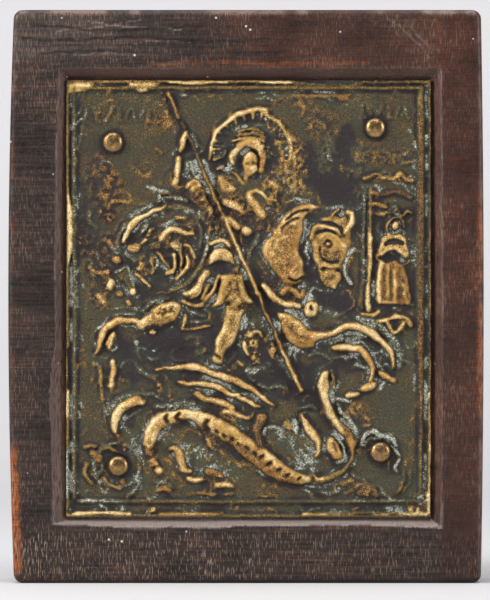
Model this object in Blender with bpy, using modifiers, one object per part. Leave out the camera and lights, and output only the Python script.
"""Travel icon: a hollowed wooden board, a relief plaque of sheet brass in it, and four dome-headed nails.

Units are metres, +Z is up and the front looks towards -Y. The origin is the middle of the board's foot.
"""

import math

import bmesh
import bpy
import numpy as np
from mathutils import Vector

MM = 0.001

# Board
BOARD_WIDTH = 0.100
BOARD_HEIGHT = 0.1205
BOARD_DEPTH = 0.018
EDGE_ROUND = 0.0013
LEFT_BOW = 0.0012
RIGHT_BOW = 0.0006
BOW_CUTS = 7

# Hollow for the plaque: the stiles and rails left round it, its depth and its sloping walls
LEFT_STILE = 0.0097
RIGHT_STILE = 0.0086
TOP_RAIL = 0.0122
BOTTOM_RAIL = 0.0119
HOLLOW_DEPTH = 0.003
SIDE_SLOPE = 0.0022
TOP_SLOPE = 0.0023
BOTTOM_SLOPE = 0.0016

# Plaque: sheet, fit in the hollow, and relief
CONTACT_GAP = 0.0003
PLAQUE_FIT = 0.0003
SHEET_THICKNESS = 0.0006
RELIEF_RISE = 0.0019
RELIEF_CELL = 0.0006
RELIEF_FACES = 7000

# Border of the plaque: a raised lip along the edge and a bead inside it
LIP_WIDTH = 0.0005
LIP_RISE = 0.0007
BEAD_INSET = 0.0021
BEAD_HALF = 0.0006
BEAD_RISE = 0.0008

# Nails: the insets are from the plaque's nearest corner to each nail's axis
NAIL_HEAD_RADIUS = 0.00215
NAIL_HEAD_RISE = 0.0013
NAIL_SHANK_RADIUS = 0.0006
NAIL_LENGTH = 0.009
NAIL_POINT = 0.002
NAIL_CLEARANCE = 0.0003
NAIL_STEPS = 16
NAIL_PAD = 0.0005
NAIL_INSETS = {
    "nail_upper_left": (-0.0098, 0.0130),
    "nail_upper_right": (0.0117, 0.0100),
    "nail_lower_left": (-0.0109, -0.0108),
    "nail_lower_right": (0.0106, -0.0137),
}

# Places that follow from the sizes above
FRONT_Y = -BOARD_DEPTH / 2
FLOOR_Y = FRONT_Y + HOLLOW_DEPTH
FLOOR_LEFT = -BOARD_WIDTH / 2 + LEFT_STILE + SIDE_SLOPE
FLOOR_RIGHT = BOARD_WIDTH / 2 - RIGHT_STILE - SIDE_SLOPE
FLOOR_BOTTOM = BOTTOM_RAIL + BOTTOM_SLOPE
FLOOR_TOP = BOARD_HEIGHT - TOP_RAIL - TOP_SLOPE
PLAQUE_WIDTH = FLOOR_RIGHT - FLOOR_LEFT - 2 * PLAQUE_FIT
PLAQUE_HEIGHT = FLOOR_TOP - FLOOR_BOTTOM - 2 * PLAQUE_FIT
PLAQUE_X = (FLOOR_LEFT + FLOOR_RIGHT) / 2
PLAQUE_Z = (FLOOR_BOTTOM + FLOOR_TOP) / 2
PLAQUE_BACK_Y = FLOOR_Y - CONTACT_GAP
GROUND_Y = PLAQUE_BACK_Y - SHEET_THICKNESS

# The relief is drawn on a sheet of these millimetres, and takes its place as shares of it.
# A stroke is its rise as a share of RELIEF_RISE, then points of x, z and half width.
DRAWING_WIDTH = 76.7
DRAWING_HEIGHT = 91.9
DRAWING_X = 0.55
DRAWING_Z = 59.85

RIDER = {
    "torso": (0.50, [(-0.5, 83.0, 2.6), (-2.0, 78.0, 3.4), (-4.6, 72.0, 3.2), (-4.6, 66.0, 3.2)]),
    "face": (0.95, [(1.4, 90.0, 1.9), (0.8, 87.2, 1.8)]),
    "hair_left": (0.82, [(-3.2, 88.2, 1.1), (-2.9, 90.3, 1.5), (-1.4, 92.0, 1.1)]),
    "hair_crown": (0.80, [(-1.4, 93.6, 0.9), (1.1, 94.3, 1.1), (3.7, 93.5, 0.9)]),
    "hair_right": (0.66, [(3.7, 91.9, 0.9), (4.7, 90.4, 0.9)]),
    "neck": (0.60, [(0.2, 85.0, 1.2), (-0.6, 83.4, 1.6)]),
    "shoulder": (0.85, [(-5.3, 85.0, 0.9), (-3.6, 83.2, 1.5)]),
    "chest": (0.72, [(-3.3, 80.3, 0.9), (-1.6, 78.4, 1.3)]),
    "sleeve": (0.82, [(1.6, 81.8, 1.2), (2.6, 79.5, 1.5), (3.7, 77.6, 1.0)]),
    "mantle_edge": (0.70, [(2.4, 82.8, 0.5), (4.0, 81.3, 0.6), (5.7, 80.2, 0.4)]),
    "rein_hand": (0.72, [(-4.4, 76.3, 0.9), (-2.3, 75.0, 0.8), (0.1, 74.0, 1.0)]),
    "fist": (0.80, [(-12.6, 94.4, 0.6), (-13.1, 93.0, 0.7), (-13.6, 91.2, 0.6)]),
    "forearm": (0.80, [(-14.2, 89.3, 0.7), (-14.3, 86.8, 0.9), (-14.7, 83.9, 0.7)]),
    "upper_arm": (0.66, [(-13.3, 82.4, 0.8), (-10.8, 82.4, 1.5), (-9.0, 80.3, 1.6), (-7.4, 78.3, 1.2)]),
    "belt": (0.80, [(-7.0, 71.3, 0.6), (-5.3, 72.1, 0.7), (-3.6, 71.4, 0.6)]),
    "waist": (0.86, [(-6.9, 69.0, 1.0), (-5.0, 69.1, 1.4), (-3.2, 68.1, 1.0)]),
    "tunic": (0.86, [(-3.5, 65.0, 1.1), (-3.1, 62.5, 2.2), (-2.7, 60.8, 3.2)]),
    "tunic_hem": (0.84, [(-6.2, 58.6, 0.6), (-2.7, 59.6, 1.3), (1.3, 58.9, 0.6)]),
    "fold_outer": (0.74, [(-8.3, 65.0, 0.6), (-10.3, 62.2, 0.9), (-12.8, 60.6, 0.8)]),
    "fold_low": (0.66, [(-13.0, 59.0, 0.5), (-11.0, 58.2, 0.6), (-8.8, 58.8, 0.6)]),
    "fold_middle": (0.74, [(-6.6, 64.2, 0.6), (-7.4, 61.2, 0.8), (-8.7, 59.6, 0.6)]),
    "leg": (0.92, [
        (-2.6, 58.0, 1.7), (-2.8, 55.5, 1.8), (-3.7, 52.0, 1.9), (-5.1, 49.0, 1.6), (-6.0, 47.0, 1.1),
    ]),
}

SPEAR = {
    "shaft": (0.62, [(-16.3, 102.8, 0.5), (11.3, 40.6, 0.6)]),
    "cross_bar": (0.55, [(-17.8, 99.6, 0.5), (-12.6, 102.4, 0.5)]),
}

HORSE = {
    "belly": (0.42, [
        (-19.0, 51.5, 4.4), (-11.0, 52.5, 5.6), (-2.0, 53.5, 6.2), (4.0, 56.5, 5.6), (7.5, 60.0, 4.0),
    ]),
    "rump": (0.86, [(-22.2, 55.1, 1.0), (-20.0, 56.1, 1.7), (-17.0, 57.0, 1.8), (-14.4, 57.4, 1.3)]),
    "hind_leg": (0.50, [(-21.0, 51.5, 2.5), (-21.2, 47.5, 1.8), (-19.4, 44.9, 1.1)]),
    "saddle_cloth": (0.74, [(-13.0, 56.6, 0.7), (-13.2, 53.6, 0.7), (-7.7, 53.8, 0.7)]),
    "saddle_flap": (0.56, [(-11.8, 50.2, 1.9), (-9.2, 49.6, 1.9)]),
    "neck": (1.00, [
        (11.3, 77.6, 1.6), (8.9, 74.0, 3.0), (7.7, 70.0, 4.1), (8.0, 66.5, 3.7), (8.9, 63.6, 2.1),
    ]),
    "mane": (0.84, [(9.3, 78.6, 0.8), (12.3, 80.0, 0.8), (15.0, 79.9, 0.8), (16.7, 78.5, 0.5)]),
    "breast_strap": (0.82, [(3.3, 63.7, 0.7), (5.5, 61.4, 0.9), (8.0, 59.6, 0.9), (10.8, 58.2, 0.9)]),
    "collar": (0.76, [(7.6, 61.9, 0.5), (9.4, 60.7, 0.8), (11.4, 60.3, 0.6)]),
    "medallion": (0.82, [(12.8, 58.0, 1.6), (13.6, 57.4, 1.6)]),
    "skull": (0.62, [(15.4, 73.6, 1.9), (17.4, 71.3, 3.0), (17.3, 68.0, 2.4), (18.2, 65.0, 1.7)]),
    "forehead": (0.86, [(13.9, 73.0, 0.8), (15.2, 75.0, 0.8), (17.3, 75.5, 0.7), (20.8, 73.7, 0.6)]),
    "brow": (0.92, [
        (14.6, 70.5, 0.7), (15.3, 72.6, 0.8), (17.0, 73.6, 0.8), (19.2, 72.7, 0.7), (20.9, 70.3, 0.5),
    ]),
    "eye": (0.80, [(17.1, 71.0, 0.8), (17.4, 71.0, 0.8)]),
    "muzzle": (0.84, [(17.2, 65.2, 0.7), (18.6, 64.7, 1.3), (18.3, 62.9, 0.9)]),
    "forelock": (0.82, [(18.0, 77.4, 0.9), (18.9, 75.9, 0.8), (20.4, 75.7, 0.9), (21.5, 74.0, 0.8)]),
    "ear": (0.86, [(21.3, 77.7, 0.9), (22.3, 76.7, 0.8), (22.0, 75.0, 0.8)]),
    "shoulder": (0.84, [(7.8, 55.6, 1.1), (10.0, 53.9, 2.0), (12.3, 51.7, 1.9), (14.5, 51.3, 1.4)]),
    "upper_foreleg": (0.82, [(14.5, 51.4, 1.3), (18.0, 52.5, 0.9), (22.0, 54.0, 1.2), (25.3, 53.2, 1.1)]),
    "upper_shin": (0.80, [(25.3, 53.2, 1.1), (28.2, 51.0, 1.0), (30.2, 48.3, 0.9), (31.0, 45.5, 0.6)]),
    "upper_hoof": (0.62, [(27.8, 44.7, 0.5), (29.3, 43.9, 0.7), (31.1, 43.0, 0.6)]),
    "lower_foreleg": (0.80, [(18.6, 49.4, 0.9), (21.5, 49.1, 1.1), (24.3, 49.0, 1.1), (26.0, 47.0, 0.9)]),
    "lower_shin": (0.74, [(26.0, 47.0, 0.9), (26.8, 45.0, 0.7), (26.4, 42.6, 0.5)]),
    "lower_hoof": (0.60, [(21.8, 39.8, 0.6), (24.8, 40.9, 0.7), (26.5, 41.4, 0.6)]),
    "tail": (0.80, [(-22.0, 54.8, 0.8), (-24.6, 55.1, 0.7), (-27.0, 55.2, 0.8), (-29.4, 53.8, 0.8)]),
    "tail_fall": (0.78, [(-29.4, 53.8, 0.8), (-30.4, 51.6, 0.8), (-31.0, 49.3, 0.6), (-31.9, 47.4, 0.4)]),
    "tail_lock": (0.66, [(-27.3, 52.7, 0.6), (-28.4, 51.0, 0.7), (-29.3, 49.3, 0.6)]),
    "tail_outer_end": (0.58, [(-30.6, 46.3, 0.7), (-31.0, 43.5, 0.6), (-30.2, 40.0, 0.5)]),
    "tail_inner_end": (0.62, [(-28.0, 46.3, 0.8), (-27.9, 44.4, 1.0), (-28.5, 41.6, 0.6)]),
}

MANTLE = {
    "billow": (0.32, [(-20.5, 71.5, 5.2), (-16.5, 70.5, 8.6), (-12.8, 69.5, 5.0)]),
    "outer_rim": (0.80, [
        (-25.4, 71.5, 0.6), (-24.8, 74.2, 0.7), (-22.6, 76.4, 0.8), (-19.6, 78.4, 0.8), (-16.6, 79.8, 0.6),
    ]),
    "upper_rim": (0.56, [(-14.5, 78.6, 0.7), (-11.6, 78.4, 0.7), (-9.2, 76.8, 0.6), (-8.2, 74.5, 0.6)]),
    "near_rim": (0.54, [(-8.2, 72.8, 0.5), (-8.6, 69.4, 0.6), (-10.0, 66.4, 0.6), (-13.4, 61.8, 0.6)]),
    "curl": (0.74, [(-18.1, 71.9, 0.7), (-17.0, 73.4, 0.8), (-14.6, 74.2, 0.8), (-11.0, 73.4, 0.7)]),
    "inner_fold": (0.72, [
        (-18.5, 69.2, 0.5), (-17.0, 67.6, 0.7), (-15.7, 65.5, 0.8), (-15.0, 69.0, 0.6),
    ]),
    "near_fold": (0.66, [(-12.8, 71.0, 0.6), (-11.4, 69.4, 0.7), (-11.9, 66.4, 0.8), (-14.2, 64.2, 0.7)]),
    "middle_fold": (0.60, [(-15.6, 71.6, 0.6), (-14.2, 69.9, 0.5), (-13.8, 66.8, 0.5)]),
    "far_fold": (0.70, [(-24.4, 70.3, 0.7), (-22.8, 70.5, 1.0), (-21.2, 72.2, 0.7), (-20.0, 74.2, 0.5)]),
    "lower_fold": (0.72, [(-22.7, 64.7, 0.6), (-21.7, 63.8, 0.8), (-20.2, 62.6, 0.6)]),
}

DRAGON = {
    "body_low": (1.00, [
        (19.8, 24.4, 0.6), (15.6, 22.2, 1.1), (12.0, 22.0, 1.4), (8.6, 23.1, 1.9), (5.0, 25.4, 2.3),
    ]),
    "body_rise": (1.00, [
        (5.0, 25.4, 2.3), (2.5, 27.6, 2.3), (-1.0, 29.8, 2.2), (-5.0, 32.1, 2.1), (-9.0, 34.2, 2.0),
    ]),
    "body_hump": (1.00, [
        (-9.0, 34.2, 2.0), (-12.0, 35.0, 1.5), (-15.0, 35.2, 1.3), (-18.2, 34.2, 1.4), (-20.1, 32.2, 1.5),
    ]),
    "body_tail": (0.92, [
        (-20.1, 32.2, 1.5), (-20.8, 29.8, 1.3), (-21.2, 27.6, 0.8), (-20.3, 25.4, 0.7), (-18.8, 24.3, 0.8),
    ]),
    "tail_loop": (0.96, [
        (-21.6, 38.0, 0.9), (-24.2, 37.8, 1.1), (-26.4, 36.4, 1.1), (-27.7, 33.6, 0.8), (-26.6, 29.4, 0.5),
    ]),
    "wing": (0.30, [(-15.0, 42.6, 2.8), (-7.0, 41.0, 3.6), (1.0, 38.0, 2.4)]),
    "first_rib": (0.76, [
        (-18.4, 45.2, 0.5), (-12.0, 45.3, 0.7), (-5.0, 43.3, 0.8), (1.0, 41.0, 0.8), (6.0, 37.4, 0.5),
    ]),
    "second_rib": (0.74, [(-14.0, 42.4, 0.5), (-7.0, 41.5, 0.6), (-2.4, 39.2, 0.6), (3.1, 37.0, 0.5)]),
    "third_rib": (0.66, [(-10.6, 39.2, 0.5), (-6.5, 38.2, 0.7), (-2.8, 36.9, 0.5)]),
    "fourth_rib": (0.62, [(-4.4, 36.0, 0.5), (-2.4, 35.6, 0.6), (0.1, 34.7, 0.5)]),
    "head": (0.38, [(17.0, 45.6, 2.4), (21.0, 43.8, 3.0), (23.4, 40.6, 2.0)]),
    "jaw": (0.98, [
        (16.4, 43.6, 1.1), (16.2, 41.2, 1.2), (17.0, 37.4, 1.1), (18.6, 33.9, 1.1), (21.8, 30.4, 0.7),
    ]),
    "coil": (0.42, [(5.5, 31.0, 2.5), (10.0, 29.5, 4.0), (14.5, 26.5, 3.2)]),
    "coil_ridge": (0.76, [(11.7, 35.2, 0.5), (13.2, 32.4, 0.8), (14.8, 29.8, 0.8), (15.3, 26.8, 0.5)]),
    "ear": (0.86, [(18.2, 29.8, 1.0), (18.9, 28.2, 1.2), (19.0, 26.8, 1.0)]),
    "claw": (0.84, [(3.6, 34.9, 0.8), (2.5, 34.2, 0.9), (2.4, 32.2, 0.7), (2.9, 29.8, 0.6)]),
    "hind_claw": (0.66, [(-15.4, 28.4, 0.6), (-13.8, 26.0, 0.8), (-12.0, 23.8, 0.8)]),
    "hind_toes": (0.56, [(-11.8, 21.7, 0.6), (-8.9, 21.7, 0.8)]),
    "toe": (0.52, [(-6.0, 20.5, 0.5), (-3.3, 20.8, 0.7)]),
}

TOWER = {
    "wall": (0.24, [(29.9, 83.0, 4.8), (29.9, 62.6, 4.8)]),
    "battlement": (0.66, [(25.6, 85.0, 0.8), (34.7, 85.0, 0.8)]),
    "left_merlon": (0.66, [(27.5, 86.0, 0.9), (28.1, 86.0, 0.9)]),
    "right_merlon": (0.66, [(32.5, 86.0, 0.9), (33.1, 86.0, 0.9)]),
    "upper_ledge": (0.46, [(26.3, 81.8, 0.7), (34.4, 81.5, 0.7)]),
    "lower_ledge": (0.54, [(25.9, 79.2, 0.7), (30.8, 79.5, 0.6)]),
    "pilaster": (0.60, [(26.3, 77.4, 0.6), (26.4, 69.0, 0.6), (26.0, 58.2, 0.7)]),
    "arch": (0.52, [(29.8, 77.6, 0.6), (31.3, 78.1, 0.7), (34.8, 78.1, 0.5)]),
    "maiden_head": (0.80, [(31.5, 75.2, 0.9), (31.6, 74.8, 0.9)]),
    "maiden_veil": (0.58, [(30.3, 76.2, 0.5), (29.6, 74.8, 0.5), (30.0, 73.4, 0.6)]),
    "maiden_mantle": (0.60, [(31.1, 71.6, 2.3), (31.1, 70.6, 2.6)]),
    "maiden_hem": (0.76, [(28.4, 69.3, 0.8), (31.0, 69.8, 1.0), (34.0, 69.0, 0.7)]),
    "maiden_skirt": (0.64, [(30.2, 66.8, 1.6), (30.0, 63.0, 2.0), (30.2, 60.2, 2.2)]),
    "step": (0.50, [(24.9, 56.6, 0.6), (28.8, 56.9, 0.6)]),
    "gate": (0.50, [(29.4, 55.0, 0.6), (31.6, 56.0, 0.7), (34.5, 54.7, 0.7), (31.2, 53.2, 0.8)]),
}

GROUND_WORK = {
    "tree_top": (0.34, [(-28.2, 85.4, 2.0), (-27.6, 84.0, 2.4)]),
    "tree_crown": (0.36, [(-28.8, 77.8, 3.5), (-28.4, 76.6, 3.4)]),
    "tree_trunk": (0.34, [(-28.4, 71.0, 2.4), (-28.0, 68.0, 2.4)]),
    "tree_root": (0.34, [(-31.2, 64.6, 1.8), (-31.4, 61.4, 1.6), (-29.6, 59.2, 1.0)]),
    "tree_lump": (0.50, [(-28.3, 63.1, 0.9), (-27.3, 62.8, 1.0)]),
    "cloud_hand": (0.24, [(16.6, 88.6, 1.3), (16.4, 91.6, 1.8), (17.6, 93.6, 1.2)]),
    "cloud": (0.20, [(22.6, 87.4, 1.2), (24.2, 90.4, 2.2)]),
    "left_scroll": (0.42, [
        (-33.8, 28.3, 0.5), (-30.6, 28.1, 0.6), (-27.2, 27.2, 0.6), (-25.2, 25.6, 0.5),
    ]),
    "left_scroll_side": (0.40, [(-33.5, 25.0, 0.5), (-33.9, 22.9, 0.5), (-32.4, 21.0, 0.5)]),
    "left_scroll_foot": (0.38, [(-30.1, 21.6, 0.5), (-28.0, 20.0, 0.5), (-25.0, 20.4, 0.5)]),
    "right_scroll": (0.42, [(24.3, 29.9, 0.5), (25.8, 31.5, 0.6), (28.6, 30.9, 0.5), (31.6, 29.8, 0.5)]),
    "right_scroll_side": (0.38, [(32.4, 26.8, 0.5), (32.2, 24.6, 0.5), (31.2, 23.0, 0.4)]),
    "mound": (0.34, [(20.6, 20.0, 0.8), (23.8, 20.4, 0.9), (26.6, 18.8, 0.7)]),
    "left_stone": (0.40, [(-18.3, 20.0, 0.6), (-15.4, 19.4, 0.7)]),
}

# Halo: a ring, and rays between an inner and an outer radius, in drawing millimetres
HALO_CENTRE = (1.2, 90.9)
HALO_RADIUS = 8.4
HALO_BAND = 0.7
HALO_RAYS = 20
HALO_RAY_START = 6.3
HALO_RAY_HALF = 0.4
HALO_RISE = 0.42
HALO_RAY_RISE = 0.30

# Belly scales: grooves across the dragon's body, as shares along each stretch
SCALED_STRETCHES = ("body_low", "body_rise")
SCALES_PER_STRETCH = 7
SCALE_HALF = 0.42
SCALE_DEPTH = 0.22

# Inscriptions: rows of shallow strokes that aren't letters, (first x, last x, z, strokes)
INSCRIPTION_ROWS = ((-34.0, -19.5, 98.2, 7), (24.6, 33.6, 99.6, 5))
INSCRIPTION_HALF_HEIGHT = 1.1
INSCRIPTION_HALF_WIDTH = 0.45
INSCRIPTION_RISE = 0.16

SPLINE_STEPS = 4


def clear_scene():
    """Removes every object of the open scene."""
    for obj in list(bpy.data.objects):
        bpy.data.objects.remove(obj)


def make_collection(name, hidden=False):
    """A collection in the scene, left out of the render when it is hidden."""
    collection = bpy.data.collections.new(name)
    collection.hide_render = hidden
    bpy.context.scene.collection.children.link(collection)
    return collection


def make_material(name, colour, roughness, metallic):
    """A Principled material of one colour, roughness and metallic value."""
    material = bpy.data.materials.new(name)
    material.use_nodes = True
    shader = material.node_tree.nodes["Principled BSDF"]
    shader.inputs["Base Color"].default_value = (*colour, 1.0)
    shader.inputs["Roughness"].default_value = roughness
    shader.inputs["Metallic"].default_value = metallic
    return material


def add_object(name, mesh, collection, material=None):
    """A mesh object in a collection, with its material."""
    obj = bpy.data.objects.new(name, mesh)
    collection.objects.link(obj)
    if material:
        mesh.materials.append(material)
    return obj


def box_mesh(name, low, high):
    """A box between two corners, as a bmesh to be shaped further and its mesh."""
    shape = bmesh.new()
    bmesh.ops.create_cube(shape, size=1.0)
    low, high = Vector(low), Vector(high)
    bmesh.ops.scale(shape, vec=high - low, verts=shape.verts)
    bmesh.ops.translate(shape, vec=(low + high) / 2, verts=shape.verts)
    return shape, bpy.data.meshes.new(name)


def cut(obj, cutter):
    """Takes a cutter out of an object."""
    modifier = obj.modifiers.new("cut_" + cutter.name, "BOOLEAN")
    modifier.operation = "DIFFERENCE"
    modifier.object = cutter
    modifier.solver = "EXACT"


def as_cutter(obj):
    """Marks an object as a cutter, which isn't part of the model."""
    obj.hide_render = True
    obj.display_type = "WIRE"
    return obj


def nail_place(name):
    """The x and z of a nail's axis, from the plaque's nearest corner."""
    inset_x, inset_z = NAIL_INSETS[name]
    x = PLAQUE_X + math.copysign(PLAQUE_WIDTH / 2, inset_x) - inset_x
    z = PLAQUE_Z + math.copysign(PLAQUE_HEIGHT / 2, inset_z) - inset_z
    return x, z


def nail_hole_cutter(name, cutters):
    """A rod along a nail's shank, wider than it by the clearance and open to the front."""
    x, z = nail_place(name)
    depth = NAIL_LENGTH + 2 * NAIL_CLEARANCE
    shape = bmesh.new()
    bmesh.ops.create_cone(
        shape,
        cap_ends=True,
        segments=NAIL_STEPS,
        radius1=NAIL_SHANK_RADIUS + NAIL_CLEARANCE,
        radius2=NAIL_SHANK_RADIUS + NAIL_CLEARANCE,
        depth=depth + RELIEF_RISE,
    )
    mesh = bpy.data.meshes.new(name + "_hole")
    shape.to_mesh(mesh)
    shape.free()
    cutter = as_cutter(add_object(name + "_hole", mesh, cutters))
    cutter.rotation_euler = (math.radians(90), 0, 0)
    cutter.location = (x, GROUND_Y + (depth - RELIEF_RISE) / 2, z)
    return cutter


def hollow_cutter(cutters):
    """A block with the hollow's sloping sides, run out past the board's face."""
    past = HOLLOW_DEPTH
    reach = (HOLLOW_DEPTH + past) / HOLLOW_DEPTH
    shape, mesh = box_mesh(
        "hollow", (FLOOR_LEFT, FRONT_Y - past, FLOOR_BOTTOM), (FLOOR_RIGHT, FLOOR_Y, FLOOR_TOP)
    )
    for vert in shape.verts:
        if vert.co.y > FRONT_Y:
            continue
        vert.co.x += math.copysign(SIDE_SLOPE, vert.co.x - PLAQUE_X) * reach
        vert.co.z += (TOP_SLOPE if vert.co.z > PLAQUE_Z else -BOTTOM_SLOPE) * reach
    shape.to_mesh(mesh)
    shape.free()
    return as_cutter(add_object("hollow", mesh, cutters))


def make_board(collection, cutters, material):
    """The board: hand-planed sides that bow a little, rounded edges, the hollow and the nail holes."""
    shape, mesh = box_mesh(
        "board", (-BOARD_WIDTH / 2, FRONT_Y, 0), (BOARD_WIDTH / 2, -FRONT_Y, BOARD_HEIGHT)
    )
    upright = [e for e in shape.edges if abs(e.verts[0].co.z - e.verts[1].co.z) > EDGE_ROUND]
    bmesh.ops.subdivide_edges(shape, edges=upright, cuts=BOW_CUTS, use_grid_fill=True)
    for vert in shape.verts:
        share = 2 * vert.co.z / BOARD_HEIGHT - 1
        bow = LEFT_BOW if vert.co.x < 0 else RIGHT_BOW
        vert.co.x -= math.copysign(bow * share**2, vert.co.x)
    shape.to_mesh(mesh)
    shape.free()
    board = add_object("board", mesh, collection, material)
    rounding = board.modifiers.new("rounded_edges", "BEVEL")
    rounding.width = EDGE_ROUND
    rounding.segments = 3
    rounding.limit_method = "ANGLE"
    rounding.angle_limit = math.radians(40)
    cut(board, hollow_cutter(cutters))
    return board


def smooth_points(points):
    """A smooth line through a stroke's points, with the half width carried along."""
    rows = np.array(points, float)
    if len(rows) == 2:
        return rows
    padded = np.vstack([2 * rows[0] - rows[1], rows, 2 * rows[-1] - rows[-2]])
    line = []
    for a, b, c, d in zip(padded, padded[1:], padded[2:], padded[3:]):
        for t in np.arange(SPLINE_STEPS) / SPLINE_STEPS:
            bend = 2 * a - 5 * b + 4 * c - d
            line.append(b + 0.5 * t * (c - a + t * (bend + t * (3 * (b - c) + d - a))))
    line.append(rows[-1])
    return np.array(line)


def stroke_rise(x, z, line):
    """The rounded height of a stroke at each place, from 0 at its edge to 1 along its middle."""
    height = np.zeros_like(x)
    for start, end in zip(line, line[1:]):
        run = end[:2] - start[:2]
        along = ((x - start[0]) * run[0] + (z - start[1]) * run[1]) / max(run @ run, 1e-9)
        along = np.clip(along, 0, 1)
        off = np.hypot(x - start[0] - along * run[0], z - start[1] - along * run[1])
        share = off / (start[2] + along * (end[2] - start[2]))
        height = np.maximum(height, np.sqrt(np.clip(1 - share**2, 0, None)))
    return height


def halo_strokes():
    """The halo's ring and rays, as strokes."""
    cx, cz = HALO_CENTRE
    strokes = {}
    turn = 2 * math.pi / HALO_RAYS
    ring = [
        (cx + HALO_RADIUS * math.cos(i * turn), cz + HALO_RADIUS * math.sin(i * turn), HALO_BAND)
        for i in range(HALO_RAYS + 1)
    ]
    strokes["ring"] = (HALO_RISE, ring)
    for i in range(HALO_RAYS):
        c, s = math.cos((i + 0.5) * turn), math.sin((i + 0.5) * turn)
        ray = [(cx + r * c, cz + r * s, HALO_RAY_HALF) for r in (HALO_RAY_START, HALO_RADIUS)]
        strokes[f"ray_{i}"] = (HALO_RAY_RISE, ray)
    return strokes


def inscription_strokes():
    """Rows of leaning strokes where the inscriptions stand."""
    strokes = {}
    for row, (first, last, z, count) in enumerate(INSCRIPTION_ROWS):
        for i in range(count):
            x = first + (last - first) * i / (count - 1)
            lean = INSCRIPTION_HALF_WIDTH * (1 if i % 2 else -1)
            top = (x + lean, z + INSCRIPTION_HALF_HEIGHT, INSCRIPTION_HALF_WIDTH)
            foot = (x - lean, z - INSCRIPTION_HALF_HEIGHT, INSCRIPTION_HALF_WIDTH)
            strokes[f"mark_{row}_{i}"] = (INSCRIPTION_RISE, [top, foot])
    return strokes


def scale_grooves(x, z):
    """How deep the belly scales cut into the dragon's body at each place."""
    depth = np.zeros_like(x)
    for name in SCALED_STRETCHES:
        line = smooth_points(DRAGON[name][1])
        for i in range(SCALES_PER_STRETCH):
            place = (i + 0.5) / SCALES_PER_STRETCH * (len(line) - 1)
            start, end = line[int(place)], line[int(place) + 1]
            middle = start + (place % 1) * (end - start)
            across = np.array([start[1] - end[1], end[0] - start[0]])
            across *= 0.45 * middle[2] / np.hypot(*across)
            low, high = middle.copy(), middle.copy()
            low[:2] -= across
            high[:2] += across
            low[2] = high[2] = SCALE_HALF
            depth = np.maximum(depth, stroke_rise(x, z, [low, high]))
    return SCALE_DEPTH * depth


def border_rise(x, z):
    """The plaque's raised lip and bead, from the distance to its nearest edge, in metres."""
    inset = np.minimum(
        PLAQUE_WIDTH / 2 - np.abs(x - PLAQUE_X), PLAQUE_HEIGHT / 2 - np.abs(z - PLAQUE_Z)
    )
    lip = LIP_RISE * np.clip(2 - inset / LIP_WIDTH, 0, 1)
    bead = BEAD_RISE * np.sqrt(np.clip(1 - ((inset - BEAD_INSET) / BEAD_HALF) ** 2, 0, None))
    return np.maximum(lip, bead)


def relief_rise(x, z):
    """The relief's height over the plaque's ground at each place, in metres."""
    draw_x = DRAWING_X + (x - PLAQUE_X) / PLAQUE_WIDTH * DRAWING_WIDTH
    draw_z = DRAWING_Z + (z - PLAQUE_Z) / PLAQUE_HEIGHT * DRAWING_HEIGHT
    height = np.zeros_like(x)
    drawn = (GROUND_WORK, MANTLE, TOWER, HORSE, RIDER, SPEAR, DRAGON)
    figures = (*drawn, inscription_strokes(), halo_strokes())
    for figure in figures:
        for rise, points in figure.values():
            height = np.maximum(height, rise * stroke_rise(draw_x, draw_z, smooth_points(points)))
    height = np.clip(height - scale_grooves(draw_x, draw_z), 0, None)
    height = np.maximum(height * RELIEF_RISE, border_rise(x, z))
    for name in NAIL_INSETS:
        nail_x, nail_z = nail_place(name)
        off = np.hypot(x - nail_x, z - nail_z) - NAIL_HEAD_RADIUS
        height *= np.clip(off / NAIL_PAD, 0, 1)
    return height


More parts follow.
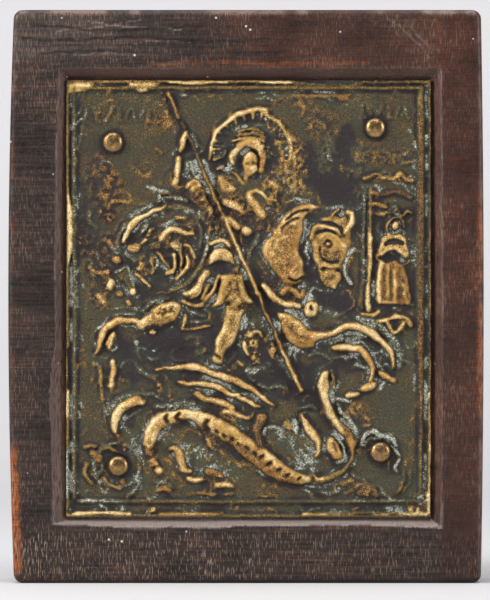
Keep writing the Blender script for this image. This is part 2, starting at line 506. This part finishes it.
def make_plaque(collection, cutters, material):
    """The plaque: a sheet raised into the relief, thinned to few faces, then closed behind."""
    columns = round(PLAQUE_WIDTH / RELIEF_CELL)
    rows = round(PLAQUE_HEIGHT / RELIEF_CELL)
    shape = bmesh.new()
    bmesh.ops.create_grid(shape, x_segments=columns, y_segments=rows, size=0.5)
    places = np.array([v.co for v in shape.verts])
    x = PLAQUE_X + places[:, 0] * PLAQUE_WIDTH
    z = PLAQUE_Z + places[:, 1] * PLAQUE_HEIGHT
    for vert, x_here, z_here, rise in zip(shape.verts, x, z, relief_rise(x, z)):
        vert.co = (x_here, GROUND_Y - rise, z_here)
    raised = bpy.data.meshes.new("raised_sheet")
    shape.to_mesh(raised)
    shape.free()
    sheet = add_object("raised_sheet", raised, cutters)
    thinning = sheet.modifiers.new("few_faces", "DECIMATE")
    thinning.ratio = RELIEF_FACES / (2 * len(raised.polygons))
    thinned = bpy.data.meshes.new_from_object(sheet.evaluated_get(bpy.context.evaluated_depsgraph_get()))
    bpy.data.objects.remove(sheet)
    mesh = bpy.data.meshes.new("relief_plaque")
    shape = bmesh.new()
    shape.from_mesh(thinned)
    edge = [e for e in shape.edges if e.is_boundary]
    walls = bmesh.ops.extrude_edge_only(shape, edges=edge)["geom"]
    back = [v for v in walls if isinstance(v, bmesh.types.BMVert)]
    for vert in back:
        vert.co.y = PLAQUE_BACK_Y
    back_edges = [e for e in walls if isinstance(e, bmesh.types.BMEdge)]
    bmesh.ops.contextual_create(shape, geom=back_edges)
    bmesh.ops.recalc_face_normals(shape, faces=shape.faces)
    shape.to_mesh(mesh)
    shape.free()
    plaque = add_object("relief_plaque", mesh, collection, material)
    mesh.shade_smooth()
    mesh.set_sharp_from_angle(angle=math.radians(40))
    return plaque


def nail_profile():
    """Half a nail's outline, down its outer side from the dome's top to the point."""
    dome = [
        (NAIL_HEAD_RADIUS * math.sin(a), NAIL_HEAD_RISE * math.cos(a))
        for a in (math.radians(90 * i / 5) for i in range(6))
    ]
    shank_end = NAIL_POINT - NAIL_LENGTH
    return [*dome, (NAIL_SHANK_RADIUS, 0), (NAIL_SHANK_RADIUS, shank_end), (0, -NAIL_LENGTH)]


def make_nail_mesh():
    """The outline of a nail, to be turned about its own axis."""
    mesh = bpy.data.meshes.new("nail_profile")
    points = [(r, 0, height) for r, height in nail_profile()]
    mesh.from_pydata(points, [(i, i + 1) for i in range(len(points) - 1)], [])
    return mesh


def make_nail(name, mesh, collection):
    """A turned nail with its head just clear of the plaque and its shank in the board."""
    nail = add_object(name, mesh, collection)
    turn = nail.modifiers.new("turned", "SCREW")
    turn.steps = turn.render_steps = NAIL_STEPS
    turn.use_merge_vertices = True
    turn.merge_threshold = 0.00001
    turn.use_smooth_shade = True
    x, z = nail_place(name)
    nail.location = (x, GROUND_Y - CONTACT_GAP, z)
    nail.rotation_euler = (math.radians(90), 0, 0)
    return nail


def main():
    """Builds the board, the plaque and the nails."""
    clear_scene()
    parts = make_collection("travel_icon")
    cutters = make_collection("cutters", hidden=True)
    dark_wood = make_material("dark_wood", (0.060, 0.034, 0.026), 0.55, 0.0)
    old_brass = make_material("old_brass", (0.30, 0.20, 0.09), 0.42, 0.9)
    nail_brass = make_material("nail_brass", (0.48, 0.33, 0.14), 0.32, 1.0)
    board = make_board(parts, cutters, dark_wood)
    plaque = make_plaque(parts, cutters, old_brass)
    nail_mesh = make_nail_mesh()
    nail_mesh.materials.append(nail_brass)
    for name in NAIL_INSETS:
        hole = nail_hole_cutter(name, cutters)
        cut(board, hole)
        cut(plaque, hole)
        make_nail(name, nail_mesh, parts)


main()
